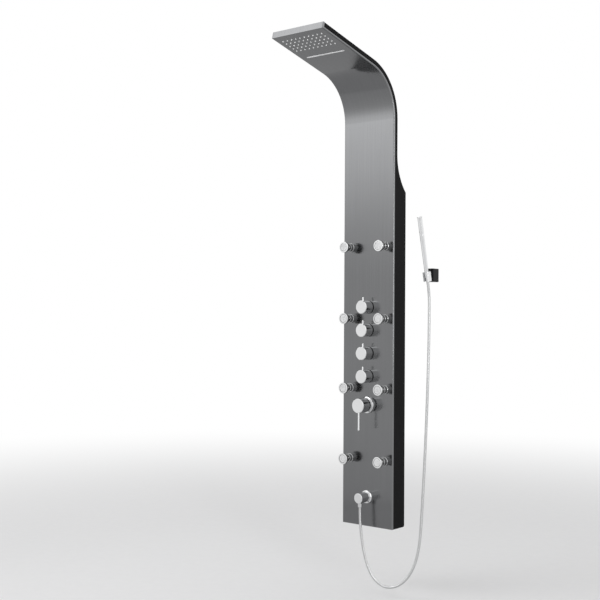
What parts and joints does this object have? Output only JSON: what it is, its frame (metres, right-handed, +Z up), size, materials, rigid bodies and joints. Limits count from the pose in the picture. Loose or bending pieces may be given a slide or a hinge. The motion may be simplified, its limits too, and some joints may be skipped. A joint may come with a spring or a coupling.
{
  "type": "shower panel column",
  "caption": "Slim wall-hung shower column with a forward-curved rain and waterfall head, body jets, diverter knobs, lever mixer and a hand shower on a flexible hose.",
  "frame": {"origin": "in the wall plane, midway between the two screw holes of the upper wall bracket", "axes": "+Z up, +Y into the wall so that the face looks along -Y, +X to the right of someone who faces the panel"},
  "size_m": [0.349, 0.4722, 1.8607],
  "materials": {
    "panel_steel": "brushed, fine upright grain",
    "side_steel": "dark satin lacquer",
    "bracket_steel": "galvanised",
    "screw_steel": "plain",
    "chrome_trim": "polished",
    "hose_steel": "polished spiral",
    "black_seal": "matte",
    "nozzle_silicone": "soft satin",
    "chamber_plastic": "moulded",
    "spout_plastic": "polished",
    "insert_plastic": "moulded",
    "tube_plastic": "extruded",
    "cartridge_plastic": "moulded",
    "valve_brass": "machined"
  },
  "bodies": {
    "column": {"face_panel": "panel_steel", "side_skin_right": "side_steel", "side_skin_left": "side_steel", "arm_back_cover": "side_steel", "bottom_cover": "side_steel", "upper_wall_bracket": "bracket_steel", "lower_wall_bracket": "bracket_steel", "hanger_rails": "bracket_steel", "cover_screws": "screw_steel", "rain_chamber": "chamber_plastic", "rain_nozzle_mat": "nozzle_silicone", "waterfall_spout": "spout_plastic", "valve_manifold": "valve_brass", "feed_tubes": "tube_plastic", "diverter_cartridges": "valve_brass", "diverter_lock_nuts": "valve_brass", "diverter_base_rings": "black_seal", "mixer_body": "valve_brass", "mixer_cartridge": "cartridge_plastic", "mixer_bonnet": "chrome_trim", "mixer_flange": "chrome_trim", "inlet_unions": "valve_brass", "jet_bodies": "chrome_trim", "jet_collars": "chrome_trim", "back_nuts": "valve_brass", "outlet_body": "chrome_trim", "outlet_flange": "chrome_trim", "hose_nut_outlet": "chrome_trim", "hose": "hose_steel", "holder_base": "chrome_trim", "holder_clip": "chrome_trim"},
    "diverter_1": {"diverter_knob_1": "chrome_trim", "diverter_pin_1": "chrome_trim", "diverter_spindle_1": "valve_brass"},
    "diverter_2": {"diverter_knob_2": "chrome_trim", "diverter_pin_2": "chrome_trim", "diverter_spindle_2": "valve_brass"},
    "diverter_3": {"diverter_knob_3": "chrome_trim", "diverter_pin_3": "chrome_trim", "diverter_spindle_3": "valve_brass"},
    "diverter_4": {"diverter_knob_4": "chrome_trim", "diverter_pin_4": "chrome_trim", "diverter_spindle_4": "valve_brass"},
    "mixer_turn": {"mixer_carrier": "cartridge_plastic"},
    "mixer_lift": {"mixer_stem": "screw_steel", "mixer_handle": "chrome_trim", "mixer_lever": "chrome_trim"},
    "jet_1": {"jet_head_1": "chrome_trim"},
    "jet_2": {"jet_head_2": "chrome_trim"},
    "jet_3": {"jet_head_3": "chrome_trim"},
    "jet_4": {"jet_head_4": "chrome_trim"},
    "jet_5": {"jet_head_5": "chrome_trim"},
    "jet_6": {"jet_head_6": "chrome_trim"},
    "jet_7": {"jet_head_7": "chrome_trim"},
    "jet_8": {"jet_head_8": "chrome_trim"},
    "hose_end": {"hose_ferrule": "chrome_trim"},
    "handset": {"hose_nut_handset": "chrome_trim", "handset_grip": "chrome_trim", "handset_head": "chrome_trim", "handset_spray_plate": "insert_plastic"}
  },
  "joints": [
    {"name": "diverter_turn_1", "type": "hinge", "parent": "column", "child": "diverter_1", "pos_m": [0, -0.106, -0.5585], "axis": [0, -1, 0], "range_deg": [0, 90]},
    {"name": "diverter_turn_2", "type": "hinge", "parent": "column", "child": "diverter_2", "pos_m": [0, -0.106, -0.478], "axis": [0, -1, 0], "range_deg": [0, 90]},
    {"name": "diverter_turn_3", "type": "hinge", "parent": "column", "child": "diverter_3", "pos_m": [0, -0.106, -0.3975], "axis": [0, -1, 0], "range_deg": [0, 90]},
    {"name": "diverter_turn_4", "type": "hinge", "parent": "column", "child": "diverter_4", "pos_m": [0, -0.106, -0.317], "axis": [0, -1, 0], "range_deg": [0, 90]},
    {"name": "mixer_swing", "type": "hinge", "parent": "column", "child": "mixer_turn", "pos_m": [0, -0.099, -0.6585], "axis": [0, -1, 0], "range_deg": [-45, 45]},
    {"name": "mixer_raise", "type": "hinge", "parent": "mixer_turn", "child": "mixer_lift", "pos_m": [0, -0.099, -0.6585], "axis": [-1, 0, 0], "range_deg": [0, 15]},
    {"name": "jet_tilt_1", "type": "hinge", "parent": "column", "child": "jet_1", "pos_m": [-0.074, -0.089, -0.8485], "axis": [1, 0, 0], "range_deg": [-15, 15]},
    {"name": "jet_tilt_2", "type": "hinge", "parent": "column", "child": "jet_2", "pos_m": [0.074, -0.089, -0.8485], "axis": [1, 0, 0], "range_deg": [-15, 15]},
    {"name": "jet_tilt_3", "type": "hinge", "parent": "column", "child": "jet_3", "pos_m": [-0.074, -0.089, -0.601], "axis": [1, 0, 0], "range_deg": [-15, 15]},
    {"name": "jet_tilt_4", "type": "hinge", "parent": "column", "child": "jet_4", "pos_m": [0.074, -0.089, -0.601], "axis": [1, 0, 0], "range_deg": [-15, 15]},
    {"name": "jet_tilt_5", "type": "hinge", "parent": "column", "child": "jet_5", "pos_m": [-0.074, -0.089, -0.357], "axis": [1, 0, 0], "range_deg": [-15, 15]},
    {"name": "jet_tilt_6", "type": "hinge", "parent": "column", "child": "jet_6", "pos_m": [0.074, -0.089, -0.357], "axis": [1, 0, 0], "range_deg": [-15, 15]},
    {"name": "jet_tilt_7", "type": "hinge", "parent": "column", "child": "jet_7", "pos_m": [-0.074, -0.089, -0.1065], "axis": [1, 0, 0], "range_deg": [-15, 15]},
    {"name": "jet_tilt_8", "type": "hinge", "parent": "column", "child": "jet_8", "pos_m": [0.074, -0.089, -0.1065], "axis": [1, 0, 0], "range_deg": [-15, 15]},
    {"name": "handset_lift", "type": "slide", "parent": "column", "child": "hose_end", "axis": [0, -0.2326, 0.9726], "range_m": [0, 0.06]},
    {"name": "handset_spin", "type": "hinge", "parent": "hose_end", "child": "handset", "pos_m": [0.2275, -0.05, -0.213], "axis": [0, -0.2326, 0.9726], "continuous": true}
  ]
}
